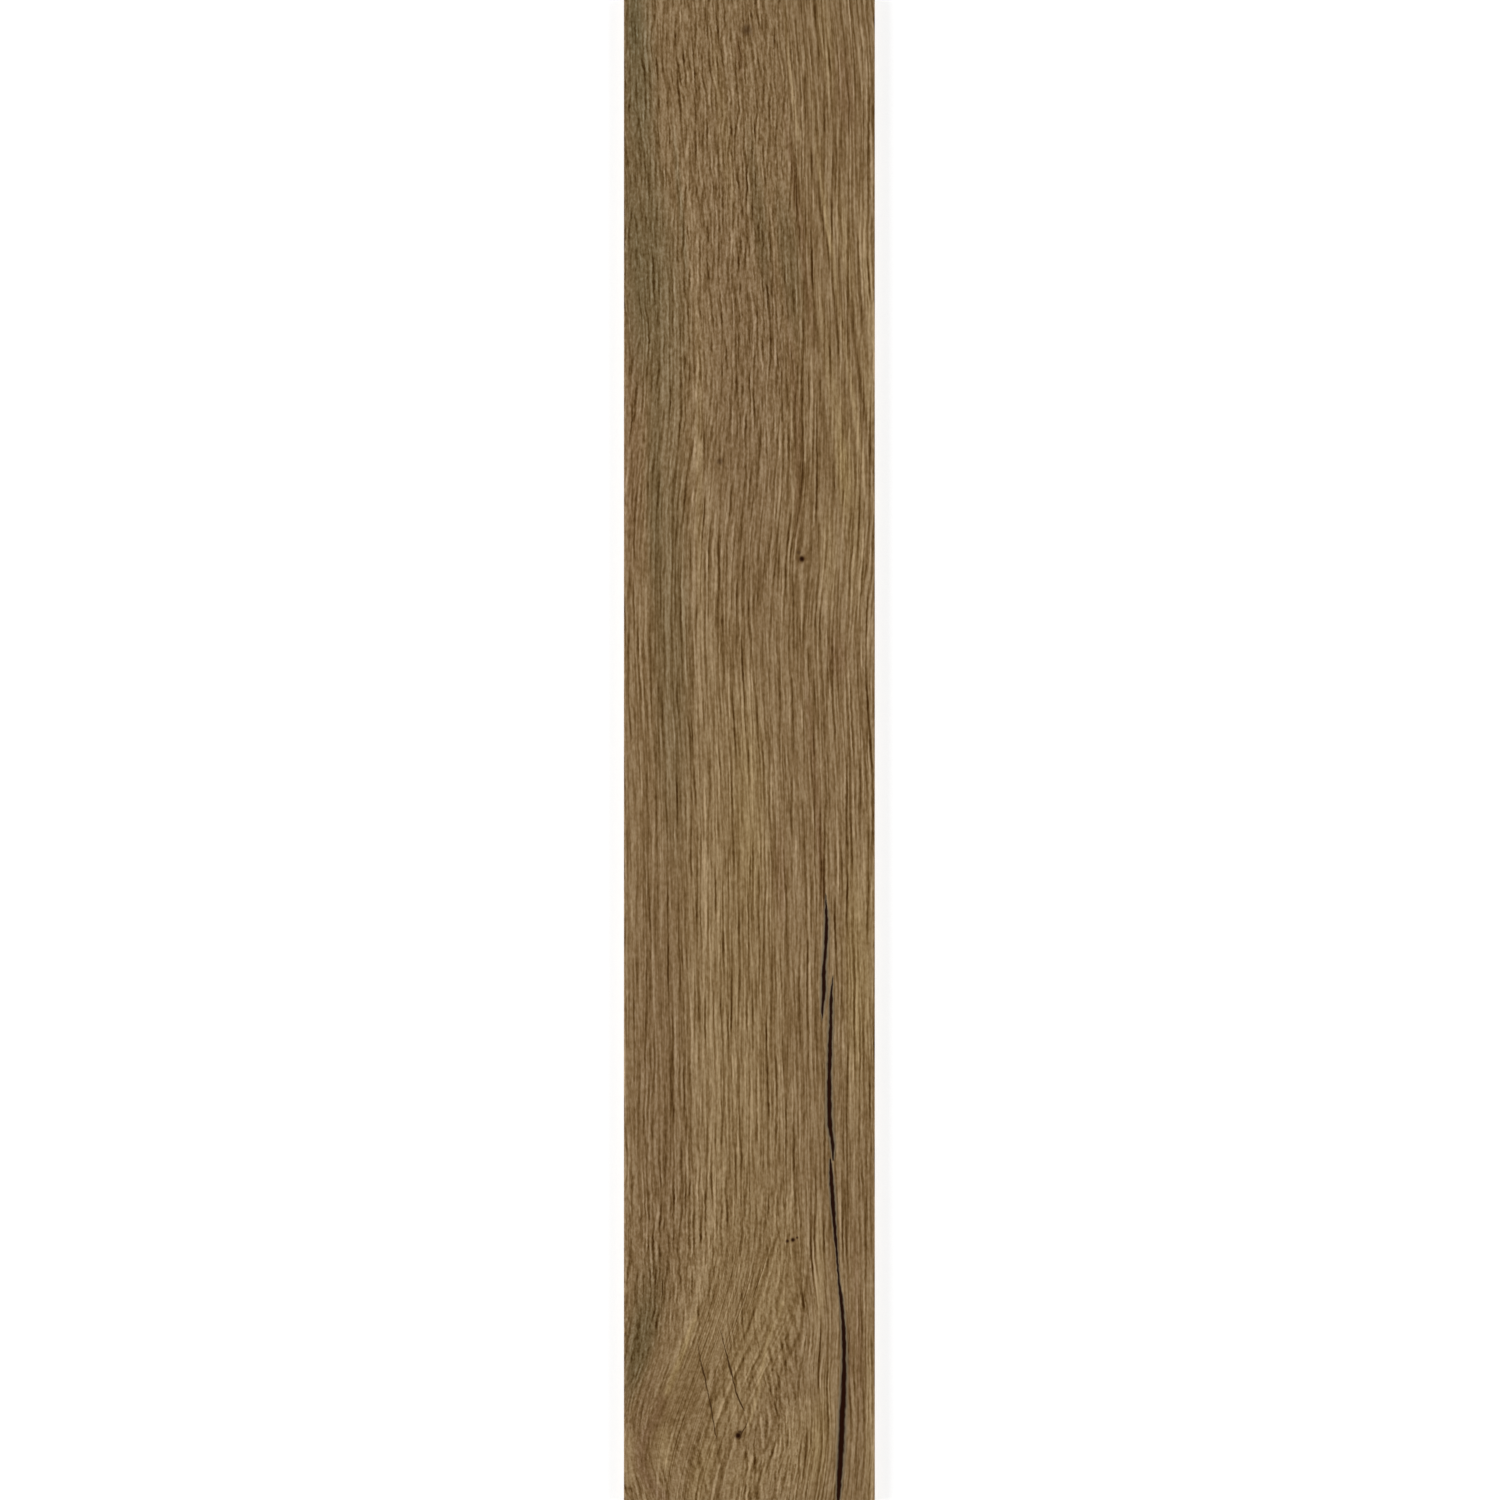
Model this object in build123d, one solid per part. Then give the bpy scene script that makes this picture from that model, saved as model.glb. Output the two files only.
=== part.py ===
"""Glazed stoneware plank tile with a wood-look face: one piece, pressed, glazed, fired and ground.

Millimetres. The back lies on Z = 0 with the origin at its centre. +Z points out of the glazed
face, +Y runs along the plank and +X across it.
"""

import os

from build123d import *

# The ground plank
TILE_WIDTH = 200.0  # across the plank
TILE_LENGTH = 1200.0  # along the plank
TILE_THICKNESS = 9.0  # from the back's ribs to the glazed face
FACE_ARRIS = 0.6  # bevel ground around the glazed face
BACK_ARRIS = 0.4  # bevel ground around the back

# The keying pattern pressed into the back, which the adhesive grips
KEY_SQUARE = 36.0  # side of one sunk square, at the back's surface
KEY_RIB = 4.0  # rib left between two sunk squares
KEY_DEPTH = 0.7  # how far a square is sunk
KEY_CORNER = 3.0  # corner radius of a sunk square
KEY_DRAFT = 30.0  # lean of a square's walls, in degrees, so that the die draws out
KEY_LAND = 12.0  # least plain land between the pattern and the plank's edges


def squares_along(span):
    """How many sunk squares fit along a span and leave the plain land at both its ends."""
    return int((span - 2 * KEY_LAND + KEY_RIB) // (KEY_SQUARE + KEY_RIB))


def ground_plank():
    """The flat plank, with its sides ground square and a fine bevel along all its outer edges."""
    on_its_back = (Align.CENTER, Align.CENTER, Align.MIN)
    plank = Box(TILE_WIDTH, TILE_LENGTH, TILE_THICKNESS, align=on_its_back)
    plank = chamfer(plank.faces().sort_by(Axis.Z)[-1].edges(), FACE_ARRIS)
    return chamfer(plank.faces().sort_by(Axis.Z)[0].edges(), BACK_ARRIS)


def sunk_squares():
    """The grid of shallow squares that the press leaves in the back, narrowing as they go in."""
    square = extrude(RectangleRounded(KEY_SQUARE, KEY_SQUARE, KEY_CORNER), KEY_DEPTH, taper=KEY_DRAFT)
    pitch = KEY_SQUARE + KEY_RIB
    places = GridLocations(pitch, pitch, squares_along(TILE_WIDTH), squares_along(TILE_LENGTH))
    return [place * square for place in places]


tile = ground_plank() - sunk_squares()

os.makedirs("parts", exist_ok=True)
export_step(tile, "parts/tile.step")
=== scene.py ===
"""Looks of a glazed stoneware plank tile: an oak-look print over its pressed relief, on a fired body.

Metres, in the frame of the solids: the back lies on Z = 0, +Z points out of the glazed face, and +Y
runs along the plank, which is up in the picture. Places on the face are in millimetres, as across
and down: across from the plank's left side, and down from its top end.
"""

import math

import bpy
import numpy as np
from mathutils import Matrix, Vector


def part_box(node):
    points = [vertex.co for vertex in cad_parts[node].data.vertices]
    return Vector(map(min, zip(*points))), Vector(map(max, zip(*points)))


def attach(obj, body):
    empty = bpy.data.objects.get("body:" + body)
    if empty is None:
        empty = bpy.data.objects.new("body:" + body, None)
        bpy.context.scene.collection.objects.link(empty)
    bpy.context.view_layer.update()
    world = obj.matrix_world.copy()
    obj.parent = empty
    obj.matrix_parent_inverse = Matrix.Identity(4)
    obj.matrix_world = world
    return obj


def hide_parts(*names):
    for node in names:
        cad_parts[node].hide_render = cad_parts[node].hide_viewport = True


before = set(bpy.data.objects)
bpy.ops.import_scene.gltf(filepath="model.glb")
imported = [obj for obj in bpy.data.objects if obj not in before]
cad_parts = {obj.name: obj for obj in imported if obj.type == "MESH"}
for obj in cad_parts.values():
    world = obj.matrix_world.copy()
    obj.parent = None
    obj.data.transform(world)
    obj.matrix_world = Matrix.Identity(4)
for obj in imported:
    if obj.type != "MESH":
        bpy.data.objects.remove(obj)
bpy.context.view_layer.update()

MM = 0.001

# The plank
LOWEST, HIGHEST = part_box("tile")
WIDTH, LENGTH, THICKNESS = HIGHEST - LOWEST
FACE_BEVEL = 0.6 * MM  # around the glazed face
BACK_BEVEL = 0.4 * MM  # around the back
HAIR = 0.0001 * MM  # the sides are drawn this far inside the solid's box, so that no rounding leaves it
BEVEL_MIDDLE = HIGHEST.z - FACE_BEVEL / 2  # height halfway down the bevel of the face
SHARP_EDGE = math.radians(40.0)  # edges that turn further than this stay sharp
CELL_ACROSS = 0.81 * MM  # one cell of the fine face, which the relief is pressed into
CELL_ALONG = 3.4 * MM

# The keying squares in the back
KEY_SQUARE = 36.0 * MM  # side of one square at the back's surface
KEY_RIB = 4.0 * MM  # between two squares
KEY_DEPTH = 0.7 * MM
KEY_CORNER = 3.0 * MM  # corner radius
KEY_DRAFT = math.radians(30.0)  # lean of the walls
KEYS_ACROSS, KEYS_ALONG = 4, 29

# The grain's course, in millimetres
# Where it wanders sideways: down, shift to the right, reach, how much lower for each millimetre across
GRAIN_STEPS = (
    (52, 7.0, 42, -0.40),
    (230, 3.0, 40, 0.0),
    (412, -9.0, 56, 0.60),
    (575, 6.0, 70, 0.0),
    (800, 3.0, 120, 0.0),
    (1185, -5.0, 35, 0.0),
)
# Where it spreads around a spot: across, down, spread, half width, half length
GRAIN_LENSES = (
    (146, 452, 0.40, 13, 30),
    (130, 1056, 0.50, 30, 40),
    (91, 1145, 0.22, 60, 48),
)
FIBRE_SWING = 19.0  # how far the fibres swing to the left, above the cathedral
SWING_APEX = (20.0, 1150.0)  # across and down, where they swing furthest, nearest the left side
SWING_LEAN = -0.3  # how much lower that is, for each millimetre further across
SWING_REACH = 60.0  # how far above and below it they swing
SWING_FADE = (15.0, 88.0)  # across, where the swing begins to fade and where it has gone
SHORTER_TOP = (340.0, 50.0, 2.1)  # how far down the figure is shorter, how gently that ends, how much
SHORTER_BOTTOM = (975.0, 30.0, 3.0)  # from how far down it is shorter again, and the same
SHORTER_FADE = (108.0, 145.0)  # fibre lines between which it gets its full length back, to the right
SHORTER_STEPS = 4  # in this many steps, each along a fibre

# The courses of some growth rings, by their number: down, across, in millimetres
RING_COURSES = {
    -30: ((0, -30), (1200, -30)),
    58: (
        (0, 37), (100, 42), (200, 52), (280, 59), (445, 58), (680, 64), (870, 69), (973, 73),
        (1019, 65), (1066, 50), (1113, 33), (1137, 21), (1165, 14), (1200, 20),
    ),
    95: (
        (0, 66), (300, 95), (900, 104), (960, 106), (1000, 104), (1040, 94), (1080, 80), (1120, 64),
        (1160, 50), (1200, 40),
    ),
    106: (
        (0, 74), (300, 106), (900, 118), (960, 123), (987, 122), (1022, 110), (1063, 95), (1092, 83),
        (1130, 68), (1200, 50),
    ),
    118: (
        (0, 83), (300, 117), (900, 132), (975, 139), (1001, 142), (1028, 140), (1063, 127), (1083, 115),
        (1110, 100), (1150, 84), (1200, 68),
    ),
    153: (
        (0, 98), (80, 110), (176, 124), (316, 137), (363, 141), (445, 138), (504, 141), (574, 150),
        (645, 156), (726, 161), (893, 164), (1000, 169), (1082, 175), (1200, 170),
    ),
    192: ((0, 138), (47, 145), (120, 155), (200, 165), (280, 177), (360, 190), (430, 198), (1200, 206)),
    254: ((0, 240), (1200, 240)),
}
RING_SMOOTHING = (-30, -20, -10, 0, 10, 20, 30)  # a course's points are rounded off over these steps down

# Cracks and checks: down, across, width, in millimetres
CRACKS = {
    "upper crack": (
        (713, 160.0, 0.0), (720, 161.0, 1.3), (737, 161.5, 3.6), (745, 161.3, 3.9), (760, 160.6, 3.8),
        (777, 159.4, 4.0), (790, 159.4, 4.4), (802, 158.6, 3.2), (817, 157.5, 0.0),
    ),
    "middle crack": (
        (779, 166.8, 0.0), (786, 166.1, 1.8), (798, 165.3, 3.0), (814, 164.9, 3.8), (845, 164.1, 4.6),
        (860, 163.7, 4.4), (873, 163.6, 4.9), (893, 163.9, 5.2), (912, 166.1, 4.4), (920, 166.7, 3.2),
        (928, 166.4, 0.0),
    ),
    "lower crack": (
        (925, 164.5, 0.0), (937, 165.0, 4.0), (952, 166.1, 4.8), (966, 167.0, 4.6), (985, 168.3, 3.2),
        (1006, 170.1, 2.4), (1018, 170.9, 2.4), (1035, 172.8, 3.8), (1058, 174.8, 4.4),
        (1082, 175.6, 4.8), (1112, 175.0, 6.2), (1134, 173.9, 7.0), (1150, 173.4, 6.8),
        (1177, 172.0, 5.8), (1192, 171.2, 4.2), (1200, 170.6, 4.0),
    ),
}
CHECKS = {
    "long check": (
        (1066, 58.0, 0.0), (1086, 61.0, 1.1), (1102, 65.0, 1.7), (1111, 66.8, 1.0), (1124, 69.4, 1.7),
        (1138, 71.8, 1.3), (1153, 74.4, 0.0),
    ),
    "short check": (
        (1055, 75.0, 0.0), (1078, 81.0, 1.2), (1094, 85.0, 2.2), (1104, 87.4, 1.5), (1116, 91.0, 2.0),
        (1127, 96.0, 0.0),
    ),
    "knot's tail": ((1132, 98.5, 0.0), (1138, 97.5, 1.0), (1143, 94.5, 1.8), (1150, 91.5, 0.0)),
}
CRACK_EDGE = 0.55  # share of a crack's half width over which its wall falls
LEAST_WALL = 0.05  # width of that wall where a crack begins
CRACK_LIP = 2.2  # width of the bleached wood beside the widest place of a crack
CRACK_WOBBLE = (3.0, 7.0, 1.4)  # width and length of a wobble of a crack's edges, and how far it goes
KNOTS = (  # across, down, radius, darkness
    (98.0, 26.0, 6.0, 0.4),
    (141.7, 447.7, 3.2, 1.0),
    (139.5, 442.5, 2.6, 0.4),
    (130.4, 991.4, 1.8, 0.85),
    (134.8, 990.4, 2.2, 1.0),
    (138.0, 988.6, 1.4, 0.7),
    (91.2, 1146.4, 3.5, 1.0),
    (92.4, 1143.8, 2.2, 0.7),
    (76.5, 370.0, 3.6, 0.35),
)
KNOT_HEART = 0.2  # share of a knot's radius that is dark all over
KNOT_HALO = 1.5  # how much wider than a knot its brown halo is

# The print's tints, as changes to its red, green and blue
OLIVE = (-0.055, 0.012, 0.06)
PURPLE = (0.012, -0.014, 0.03)
DUSK = (-0.004, -0.006, 0.035)
OCHRE = (0.0, 0.0, -0.06)
MAUVE = (0.02, -0.01, 0.10)
PLAIN = (0.0, 0.0, 0.0)

# The print's broad lights and darks, which lie along the growth rings: across, down, half width in
# ring numbers, half length, how much lighter, tint
STROKES = (
    (12, 130, 26, 240, -0.10, OLIVE),
    (8, 230, 14, 120, -0.03, OLIVE),
    (12, 50, 24, 110, 0.0, OLIVE),
    (8, 18, 12, 40, -0.04, OLIVE),  # dull band down the left side
    (32, 240, 26, 140, -0.03, OLIVE),
    (37, 500, 21, 250, -0.065, OLIVE),
    (25, 420, 9, 330, -0.06, PLAIN),
    (7, 360, 12, 150, -0.02, PURPLE),
    (24, 390, 9, 120, -0.04, OLIVE),
    (25, 472, 8, 66, -0.05, PLAIN),
    (28, 860, 28, 250, -0.05, DUSK),
    (7, 930, 12, 50, 0.05, PLAIN),
    (36, 800, 4, 170, -0.05, PLAIN),
    (42, 680, 7, 54, -0.05, PLAIN),
    (45, 165, 4, 90, 0.05, OLIVE),
    (42, 72, 8, 40, -0.08, PLAIN),
    (50, 480, 5, 340, -0.04, PLAIN),
    (15, 1062, 22, 80, -0.13, OLIVE),  # dark foot of that band
    (12, 1078, 17, 55, -0.04, OLIVE),
    (30, 1130, 18, 70, -0.06, PLAIN),
    (16, 1122, 14, 40, -0.05, DUSK),
    (63, 690, 6.5, 520, 0.12, PLAIN),  # pale streak beside the band
    (60, 380, 4, 190, 0.07, OCHRE),
    (58, 476, 5, 50, 0.04, PLAIN),
    (63, 900, 7, 130, 0.05, PLAIN),
    (60, 1030, 8, 110, 0.10, PLAIN),
    (42, 1092, 5, 60, 0.02, OCHRE),
    (78, 1000, 5, 110, -0.05, PLAIN),
    (92, 46, 7, 26, -0.09, PURPLE),
    (80, 110, 9, 110, 0.03, OCHRE),
    (95, 300, 44, 300, -0.02, DUSK),
    (108, 176, 15, 90, -0.11, OLIVE),
    (131, 212, 14, 80, -0.08, OLIVE),
    (137, 330, 6, 170, -0.13, PURPLE),  # dark streak that leads into the crack
    (152, 620, 5, 130, -0.10, PURPLE),
    (158, 700, 4, 64, -0.11, PURPLE),
    (126, 600, 12, 160, -0.05, PLAIN),
    (125, 700, 7, 60, -0.05, PURPLE),
    (124, 432, 8, 60, -0.05, PLAIN),
    (155, 830, 6, 130, -0.08, PLAIN),
    (100, 640, 18, 120, 0.05, OCHRE),
    (99, 550, 10, 60, 0.05, PLAIN),
    (165, 200, 3.4, 200, 0.13, OCHRE),
    (177, 200, 7, 76, 0.12, OCHRE),  # pale and dark diagonals at the top right
    (187, 345, 4, 70, 0.12, OCHRE),
    (195, 312, 7, 70, 0.19, OCHRE),
    (175, 378, 7, 44, 0.06, OCHRE),
    (140, 180, 4, 160, -0.05, PURPLE),
    (186, 290, 3.2, 110, -0.15, PLAIN),
    (196, 235, 7, 120, 0.15, OCHRE),
    (161, 36, 6, 60, 0.12, OCHRE),
    (125, 50, 7, 54, 0.06, PLAIN),
    (193, 50, 8, 50, 0.05, PLAIN),
    (176, 75, 7, 50, -0.07, PURPLE),
    (167, 320, 6, 130, 0.06, OCHRE),
    (158, 325, 5, 50, -0.05, PLAIN),
    (163, 444, 7, 60, 0.14, OCHRE),
    (158, 478, 6, 32, 0.06, PLAIN),
    (182, 400, 9, 130, 0.02, OCHRE),
    (170, 526, 8, 28, -0.08, PURPLE),
    (191, 470, 9, 110, 0.06, PLAIN),
    (176, 628, 7, 44, 0.07, PLAIN),
    (193, 676, 8, 44, 0.07, PLAIN),
    (196, 770, 8, 190, 0.11, OCHRE),
    (183, 790, 13, 170, 0.06, OCHRE),
    (186, 775, 14, 120, 0.02, OCHRE),
    (175, 830, 6, 50, 0.05, PLAIN),
    (88, 850, 52, 520, 0.03, OCHRE),
    (93, 840, 8, 150, 0.06, PLAIN),
    (125, 875, 6, 44, 0.05, PLAIN),
    (108, 1075, 20, 170, 0.07, OCHRE),
    (110, 1000, 8, 44, 0.04, PLAIN),
    (113, 1152, 5, 54, 0.05, PLAIN),  # between the cracks, at the foot
    (139, 1004, 7, 56, -0.08, PLAIN),
    (120, 258, 18, 90, -0.06, DUSK),
    (157, 1014, 8, 70, 0.11, OCHRE),
    (180, 1088, 4, 60, -0.09, PURPLE),
    (187, 1060, 5, 120, -0.06, PURPLE),
    (196, 1140, 7, 130, 0.14, OCHRE),
    (193, 1182, 8, 34, 0.09, PLAIN),
    (193, 1000, 8, 60, 0.07, PLAIN),
    (140, 1155, 14, 60, 0.06, OCHRE),
    (158, 1142, 5, 70, 0.09, OCHRE),
    (98, 1182, 9, 32, 0.06, OCHRE),
    (60, 1180, 12, 40, 0.02, OCHRE),
)
PAINTED_BEVEL_SHADE = -0.15  # painted shade: how much lighter the print is at the foot of the bevel, standing in for the arris's shade
STROKE_CORE = 0.25  # share of a stroke's size inside which it has its full strength

# Soft marks, each along its own course: half width, how much lighter, tint, how much stronger the lines
# are on it, and the places that it passes, across and down
MARKS = {
    "streak above the knot": (3.0, -0.13, PLAIN, 0.2, ((143, 258), (142, 330), (141.5, 400), (141, 436))),
    "edge beside the knot": (
        3.2, -0.12, PLAIN, 0.0,
        ((155, 420), (151.5, 446), (149.5, 462), (153, 484), (160, 502), (167, 522)),
    ),
    "streak above the crack": (
        2.6, -0.15, PLAIN, 0.2,
        ((146, 520), (152, 560), (156.5, 596), (157.5, 660), (159, 716)),
    ),
    "long dark diagonal": (
        2.4, -0.24, PLAIN, 0.0,
        (
            (144.5, 60), (147, 110), (151.7, 150), (155.4, 166), (160, 186), (164, 210), (168, 236),
            (174, 262),
        ),
    ),
    "upper dark diagonal": (2.2, -0.22, PLAIN, 0.0, ((152, 8), (154.5, 40), (156.5, 80), (161, 110))),
    "outer dark diagonal": (2.4, -0.16, PLAIN, 0.0, ((165, 26), (167.5, 74), (168, 110), (172, 140))),
    "inner dark diagonal": (
        2.4, -0.20, PLAIN, 0.0,
        ((135, 118), (139.5, 155), (143.5, 178), (148.5, 205), (151.5, 240), (155, 284)),
    ),
    "lower dark diagonal": (2.2, -0.16, PLAIN, 0.0, ((155, 298), (158, 325), (160.5, 352))),
    "left dark diagonal": (2.0, -0.12, PLAIN, 0.0, ((130, 176), (133, 214))),
    "upper pale diagonal": (2.6, 0.14, OCHRE, 0.0, ((128, 8), (131, 48), (135, 80), (139.5, 112))),
    "lower pale diagonal": (2.2, 0.16, OCHRE, 0.0, ((152, 120), (157, 150), (161.5, 182), (166, 204))),
    "first dark ring": (
        2.0, -0.20, PLAIN, 0.0,
        (
            (125.5, 980), (120, 993), (115, 1007), (112, 1019), (107, 1036), (102.5, 1050), (97, 1068),
            (92, 1086),
        ),
    ),
    "inner dark ring": (
        1.8, -0.15, PLAIN, 0.0,
        ((108.5, 989), (106.5, 1007), (102.5, 1021), (98.5, 1036), (94, 1052)),
    ),
    "second dark ring": (
        2.0, -0.20, PLAIN, 0.0,
        ((123, 1037), (118, 1046), (112, 1056), (103.5, 1073), (95.5, 1085), (88, 1101)),
    ),
    "last dark ring": (
        2.0, -0.18, PLAIN, 0.0,
        ((115, 1058), (111, 1075), (107, 1085), (102.5, 1093), (100, 1110), (98, 1126)),
    ),
    "pale ring": (
        2.6, 0.14, OCHRE, 0.0,
        ((118.5, 1058), (114, 1072), (111, 1088), (108.5, 1104), (104, 1122), (99, 1138)),
    ),
    "outer dark ring": (
        2.2, -0.24, PLAIN, 0.0,
        (
            (151, 972), (148, 1000), (145.5, 1026), (142.5, 1044), (142, 1058), (139.5, 1068),
            (131, 1083), (125, 1095), (121, 1120), (120, 1136), (115, 1153), (105.5, 1167), (104, 1196),
        ),
    ),
    "line left of the knot": (1.9, -0.16, PLAIN, 0.0, ((84, 1130), (81, 1145), (76, 1161), (71, 1182))),
    "line beside the long check": (1.9, -0.15, PLAIN, 0.0, ((72, 1138), (65.5, 1161), (56, 1174))),
    "rim of the small eye": (
        1.8, -0.12, PLAIN, 0.0,
        ((130, 1035), (132, 1031), (136, 1032), (137.5, 1038), (134, 1043), (130.5, 1040), (130, 1035)),
    ),
    "shade under the small eye": (3.2, -0.19, PLAIN, 0.0, ((133, 1047), (135, 1056))),
    "pale side of the small eye": (3.4, 0.09, OCHRE, 0.0, ((126, 1041), (123, 1050))),
    "shade under the pin knots": (3.6, -0.14, PLAIN, 0.0, ((135, 994), (137, 1005))),
    "pale band over the large eye": (
        4.0, 0.10, OCHRE, -0.2,
        ((57, 1054), (50, 1072), (42, 1094), (35, 1112)),
    ),
    "shade beside that band": (9.0, -0.07, PLAIN, -0.2, ((62, 1082), (56, 1104), (47, 1124))),
    "arc over the large eye": (
        3.2, -0.12, PLAIN, 0.0,
        ((38, 1136), (49, 1133), (59.5, 1126), (68, 1121), (80, 1110)),
    ),
    "rim of the large eye": (
        8.0, -0.12, MAUVE, -0.5,
        ((30, 1118), (26, 1132), (18, 1144), (13, 1158), (14, 1172), (20, 1184), (32, 1197)),
    ),
    "pale side of the large eye": (9.0, 0.15, OCHRE, -0.5, ((3, 1148), (4, 1182))),
    "heart of the large eye": (10.0, 0.09, OCHRE, -0.5, ((32, 1146), (33, 1168))),
}

# The print's streaks: width and length of one cell of the pattern, in millimetres, and its strength
FIBRES = (  # along the fibres
    (1.7, 8.0, 0.31),
    (2.0, 20.0, 0.26),
    (2.6, 70.0, 0.17),
    (4.0, 300.0, 0.10),
)
RINGS = (  # along the growth rings, with the width in ring numbers
    (2.4, 500.0, 0.16),
    (4.5, 900.0, 0.18),
    (9.0, 1600.0, 0.12),
)
GRIT = (2.1, 3.6)  # width and length of the print's finest grain, drawn as coarse as it needs to show
GRIT_STRENGTH = 0.29

# The print's lines, drawn in dashes: spacing, thickness and length of a dash, in millimetres, and how
# much lighter they are
FIBRE_LINES = (
    (5.4, 1.85, 84.0, -0.26),
    (4.1, 1.75, 50.0, -0.21),
    (2.9, 1.45, 28.0, -0.15),
    (4.7, 1.75, 66.0, 0.15),
    (3.3, 1.45, 36.0, 0.11),
)
RING_LINES = (  # along the growth rings of the cathedral, with spacing and thickness in ring numbers
    (4.0, 1.25, 110.0, -0.19),
    (2.3, 0.85, 70.0, -0.15),
    (2.9, 1.05, 90.0, 0.17),
)
CATHEDRAL_TOP = (965.0, 1015.0)  # down, where the ring lines begin to show and where they show in full
CATHEDRAL_LEFT = (58.0, 68.0)  # rings, between which they begin to show
CATHEDRAL_RIGHT = (119.0, 127.0)  # rings, between which they go
CATHEDRAL_FAINT = 0.45  # share of the fibre lines' strength that is lost there
# Where the fibre lines are fainter: across, down, half width in ring numbers, half length, share lost
FAINT_SPOTS = (
    (22, 1115, 56, 110, 0.35),
    (20, 420, 45, 760, 0.20),
    (164, 435, 9, 70, 0.45),
    (162, 330, 10, 110, 0.30),
)
LINE_RIM = 0.2  # how far a line's edges go the other way, as the shoulders of a pore catch the light
LINE_SPREAD = (1.5, 0.5)  # half thicknesses off a line's middle, where it begins and where it is full
RIM_SPREAD = (4.0, 1.0)  # the same, of its edges
LINE_WANDER = 160.0  # length over which a line wanders across its strip
WANDER_RANGE = (0.2, 0.8)  # noise that puts a line at the left and at the right of its strip
DASH_RANGE = (0.36, 0.62)  # noise at which a dash begins and at which it is full
STRIP_SEED = 7.3  # how far apart in the noise two neighbouring strips are read
RIPPLE = (10.0, 45.0, 1.6)  # width and length of one wave of the fibres, and how far it sways them
JITTER = (3.0, 8.0, 0.8)  # the same, of the fine unevenness of a line

MIDDLE_TONE = 0.604  # the print's tone before its streaks, lines and strokes, from 0 dark to 1 pale

# Relief
STREAK = (2.6, 45.0)  # width and length of a pressed streak, in millimetres
STREAK_DEPTH = 0.06 * MM
PORE_DEPTH = 0.2 * MM
CRACK_DEPTH = 0.6 * MM
CHECK_DEPTH = 0.2 * MM
KNOT_DEPTH = 0.35 * MM
PORE = (1.2, 14.0)  # width and length of a fine pore, in millimetres
PORE_BUMP = 0.08 * MM
BUMP_STRENGTH = 0.5  # of the fine bumps on the glaze and on the body

# Ranges of one value that give ranges of another: from the first two numbers to the last two
MAP_RANGE = ("From Min", "From Max", "To Min", "To Max")
GLAZE_ROUGHNESS = (0.3, 0.7, 0.54, 0.42)  # the pores' noise, and the roughness that it gives
BODY_ROUGHNESS = (0.3, 0.7, 0.80, 0.95)  # the same, with the grains' noise
WASH_COVER = (0.3, 0.6, 0.30, 0.85)  # the patches' noise, and the share of the wash in the colour
CEILING = (0.3, 0.7, 1.0, 0.1)  # how steeply up a view goes, and the light that it meets there

# The bare body
BODY_GRAIN = (0.9, 0.9, 0.9)  # its grains, far coarser than the real ones, so that they show
GRINDING = (60.0, 60.0, 0.5)  # level lines left by grinding, long around the sides and fine up them
WASH_PATCH = (26.0, 26.0, 26.0)  # patches of the kiln wash
WASH_TOP = 0.15 * MM  # height up to which the wash lies on the back's ribs
BODY_BUMP = 0.08 * MM

# The tile's sides on its surface map: where each starts on the square, and how wide it is there
FACE_SHEET = (0.010, 0.780)
END_SHEET = (0.796, 0.008)
BACK_SHEET = (0.810, 0.160)
LEFT_SHEET = (0.975, 0.009)
RIGHT_SHEET = (0.988, 0.009)
END_LENGTH = 0.48  # how long an end is on it, where the others take its whole length
BOTTOM_END, TOP_END = 0.01, 0.51  # where along it the two ends start
GLAZED_SLOPE = 0.3  # faces whose normals point up more than this are glazed
SIDE_SLOPE = 0.7  # faces whose normals point left or right more than this are the long sides

# The camera sees the face from straight above, and cuts a little off its ends
LENS = 100.0
SENSOR = 36.0
VIEW_LENGTH = LENGTH - 4.5 * MM
VIEW_ASIDE = 0.5 * MM  # the picture's middle lies this far to the right of the plank's

# The studio
FLOOR_SIZE = 4.0
FLOOR_GLOW = 0.6  # what the floor adds to the light on it, to be seen as white
LAMP_ASIDE, LAMP_HEIGHT = 2.4, 1.2
LAMP_WIDTH, LAMP_LENGTH = 1.2, 3.0


def linear(hex_colour):
    """The linear colour, with alpha, of an sRGB hex value."""
    parts = [int(hex_colour[i : i + 2], 16) / 255 for i in (1, 3, 5)]
    return (*[p / 12.92 if p <= 0.04045 else ((p + 0.055) / 1.055) ** 2.4 for p in parts], 1.0)


def add_node(tree, kind, inputs=(), **settings):
    """Add a node to a tree with its settings, and its inputs as values or as links from outputs."""
    node = tree.nodes.new(kind)
    for name, value in settings.items():
        setattr(node, name, value)
    for socket, value in dict(inputs).items():
        if isinstance(value, bpy.types.NodeSocket):
            tree.links.new(value, node.inputs[socket])
        else:
            node.inputs[socket].default_value = value
    return node


def draw_curve(node, points):
    """Give a curve node its points, each a pair from 0 to 1."""
    curve = node.mapping.curves[0]
    curve.points[0].location = points[0]
    curve.points[-1].location = points[-1]
    for place in points[1:-1]:
        curve.points.new(*place)
    node.mapping.update()


# The grain's course


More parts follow.
